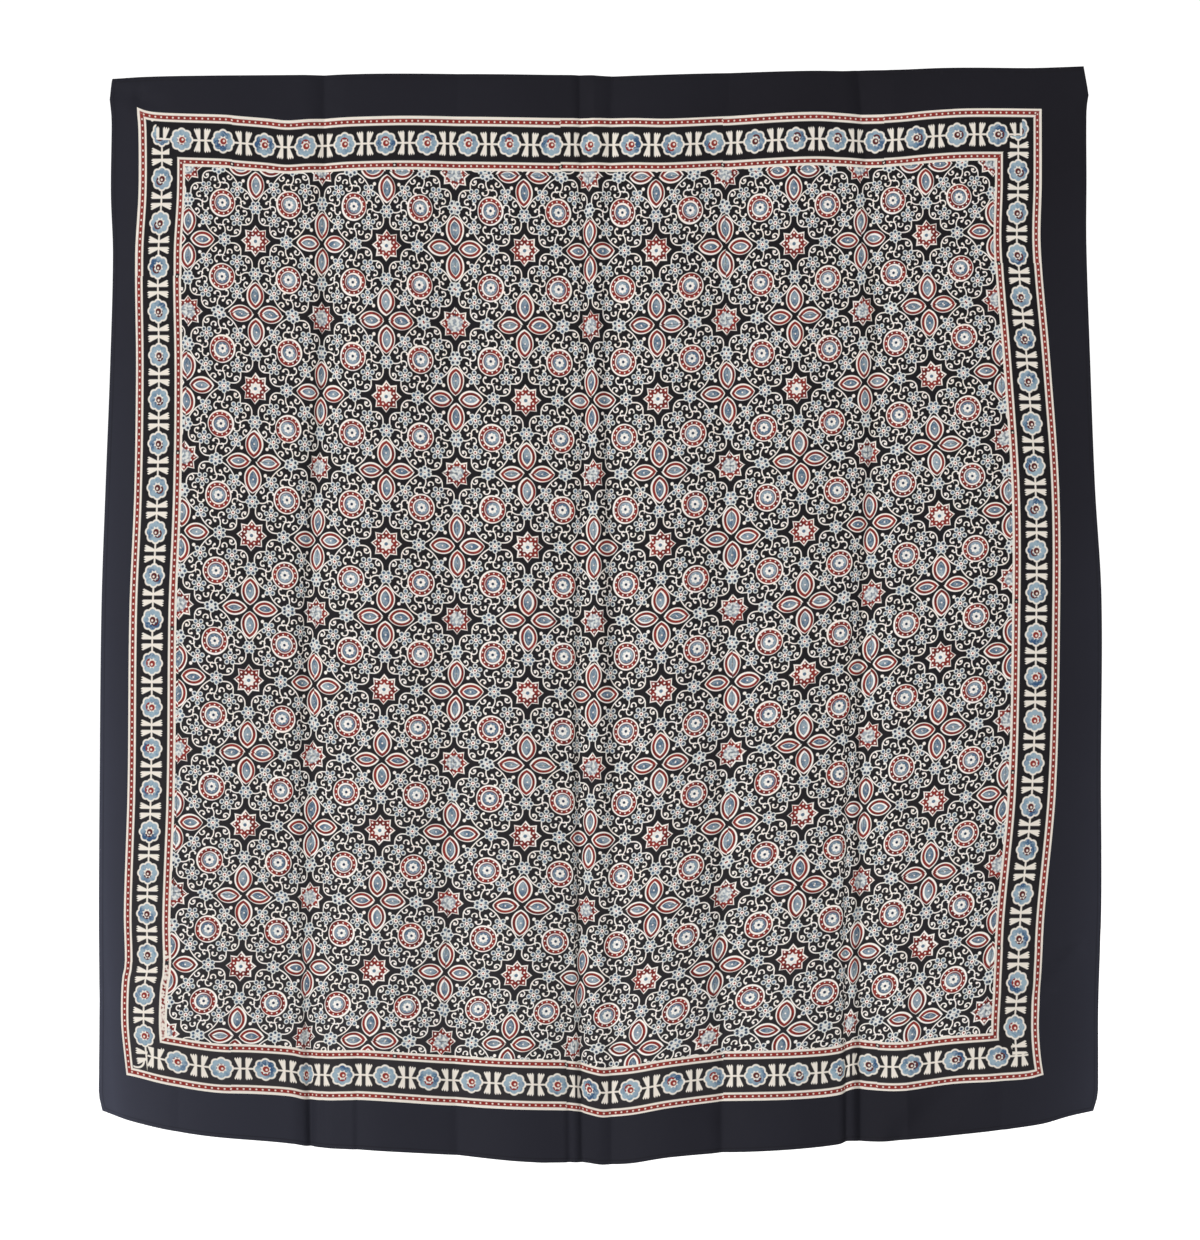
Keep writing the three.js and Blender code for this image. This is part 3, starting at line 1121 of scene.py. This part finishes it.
def clothPaint():
    paint = Paint("ajrakhPrint")
    flat = paint.attribute("flatAt")
    spots, patches, broad = [paint.noise(flat, fadingAndSheen[name]) for name in ("spots", "patches", "broad")]

    def stretched(value, low, high):
        return paint.node("MapRange", {}, {0: value, 1: low, 2: high, 3: 0.0, 4: 1.0})

    flatX, flatY, _ = paint.parts(flat)
    fromRight = 1 - flatX / cloth["flat"][0]
    lower = flatY / cloth["flat"][1]

    def rising(name, along):
        return fadingAndSheen[name][0] + fadingAndSheen[name][1] * along

    # Painted sheen: the navy margin is lightened towards the left and lower down, with a broad random tone
    # added
    navySheenAndTone = fromRight * fromRight * rising("navySheenLeft", lower) + fadingAndSheen["navySheenLower"] * lower
    navySheenAndTone = navySheenAndTone + (broad - 0.5) * fadingAndSheen["navyBroad"]
    # Painted sheen along the left edge low down, and along the right edge
    paintedLeftEdgeSheen = fromRight.math("POWER", 60) * lower * lower * fadingAndSheen["navySheenLeftEdge"]
    paintedRightEdgeSheen = (1 - fromRight).math("POWER", 16) * rising("navySheenRightEdge", lower)
    # Painted sheen: the black is lightened lower down, and towards the left
    paintedBlackSheen = lower * lower * lower * rising("blackSheenLower", fromRight) + fadingAndSheen["blackSheenLeft"] * fromRight
    # The dyes' mottling, with the black under painted sheen and the cream under painted light
    mottleAndPaintedLight = {
        "patch": stretched(spots + patches, 0.8, 1.25),
        "wash": stretched(spots - patches, -0.3, 0.08),
        "tone": stretched(patches, 0.42, 0.62),
        "deep": stretched(spots * 0.7 + patches, 0.80, 1.05),
        "blots": stretched(spots, 0.42, 0.58),
        "black": paint.mix(paintedBlackSheen, dyes["black"], dyes["blackSheenColour"]),
        # painted light: the cream is lighter lower down
        "cream": paint.mix(
            lower * lower * 0.6, paint.mix(patches, dyes["creamWarm"], dyes["cream"]), dyes["creamPaintedLight"]
        ),
    }
    frameColour, stripDepth, nearest = framePrint(paint, mottleAndPaintedLight)
    # The navy under all of this painted sheen
    navySheenAndToneShare = (navySheenAndTone + paintedLeftEdgeSheen + paintedRightEdgeSheen) / fadingAndSheen["navySheenFull"]
    navy = paint.mix(navySheenAndToneShare, dyes["navy"], dyes["navySheenColour"])
    hemX, hemY, _ = paint.parts(paint.attribute("clothAt"))
    hem = paint.inside(abs(paint.least(hemX, hemY) - cloth["hemWide"]) - 0.5, 0.5)
    navy = paint.mix(hem * fadingAndSheen["hem"], navy, dyes["black"])
    _, _, behind = paint.parts(paint.attribute("stripAt"))
    faded = (behind > 0.5) * fadingAndSheen["back"]
    thread = math.tau / cloth["weave"]
    weave = (flatX * thread).math("SINE") * (flatY * thread).math("SINE")
    bump = paint.node("Bump", {}, {"Strength": 0.18, "Distance": 0.1 * mm, "Height": weave})

    def dyed(colour):
        return paint.node(
            "BsdfPrincipled",
            {},
            {
                "Base Color": paint.mix(faded, colour, dyes["backNavy"]),
                "Roughness": 0.72,
                "Specular IOR Level": 0.1,
                "Normal": bump,
            },
        )

    # Each part of the print has its own surface, so that only one of them is worked out at a place
    at = fieldPlaces(paint)
    ground, motifs = dyed(groundPrint(paint, mottleAndPaintedLight, at)), dyed(motifPrint(paint, mottleAndPaintedLight, at))
    field = paint.node("MixShader", {}, [at["outline"] < -motif["soft"], ground, motifs])
    printed = paint.node("MixShader", {}, [stripDepth > border["deep"], dyed(frameColour), field])
    paint.finish(paint.node("MixShader", {}, [nearest > 0, dyed(navy), printed]))
    print("print:", len(paint.tree.nodes), "nodes")
    return paint.owner


def makeCamera():
    data = bpy.data.cameras.new("camera")
    data.sensor_fit = "VERTICAL"
    data.sensor_height = shot["sensor"]
    data.lens = shot["sensor"] * shot["away"] / shot["viewHeight"]
    camera = bpy.data.objects.new("camera", data)
    camera.location = Vector((shot["right"], -shot["away"], -shot["down"])) * mm
    camera.rotation_euler = (math.pi / 2, 0, 0)
    bpy.context.collection.objects.link(camera)
    bpy.context.scene.camera = camera


def makeStudio():
    scene = bpy.context.scene
    scene.view_settings.view_transform = "Standard"
    world = bpy.data.worlds.new("studio")
    world.use_nodes = True
    paint = Paint("studio", world)
    _, back, _ = paint.parts(paint.node("TexCoord"))
    low, high = studio["turn"]
    level = paint.node(
        "MapRange", {"interpolation_type": "SMOOTHSTEP"},
        {0: back, 1: low, 2: high, 3: studio["before"], 4: studio["behind"]},
    )
    room = paint.node("Background", sockets={"Color": (1, 1, 1, 1), "Strength": level})
    paint.finish(room, "World")
    scene.world = world
    for lamp in studio["lamps"]:
        data = bpy.data.lights.new(lamp["name"], "AREA")
        data.size = lamp["size"] * mm
        data.energy = lamp["watts"]
        light = bpy.data.objects.new(lamp["name"], data)
        light.location = Vector(lamp["at"]) * mm
        facing = Vector(lamp["to"]) - Vector(lamp["at"])
        light.rotation_euler = facing.to_track_quat("-Z", "Y").to_euler()
        bpy.context.collection.objects.link(light)
    shape = bmesh.new()
    bmesh.ops.create_circle(shape, cap_ends=True, segments=96, radius=studio["floorRadius"] * mm)
    bmesh.ops.translate(shape, verts=shape.verts[:], vec=(0, 0, -studio["floorDown"] * mm))
    mesh = bpy.data.meshes.new("floor")
    shape.to_mesh(mesh)
    shape.free()
    floor = bpy.data.objects.new("floor", mesh)
    bpy.context.collection.objects.link(floor)
    paint = Paint("floorPaint")
    _, back, _ = paint.parts(paint.node("TexCoord", output="Object"))
    low, high = studio["floorGlows"]
    glow = paint.node("MapRange", {"interpolation_type": "SMOOTHSTEP"}, {0: back, 1: low, 2: high})
    paint.finish(
        paint.node(
            "BsdfPrincipled",
            {},
            {
                "Base Color": (*studio["floorColour"], 1),
                "Roughness": 0.9,
                "Specular IOR Level": 0.1,
                "Emission Color": glow,
                "Emission Strength": 0.7,
            },
        )
    )
    paint.owner.cycles.emission_sampling = "NONE"
    mesh.materials.append(paint.owner)


makeCamera()
makeStudio()
print("camera and studio made")
piece = buildCloth()
piece.data.materials.append(clothPaint())
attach(piece, "root")
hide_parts("cloth")
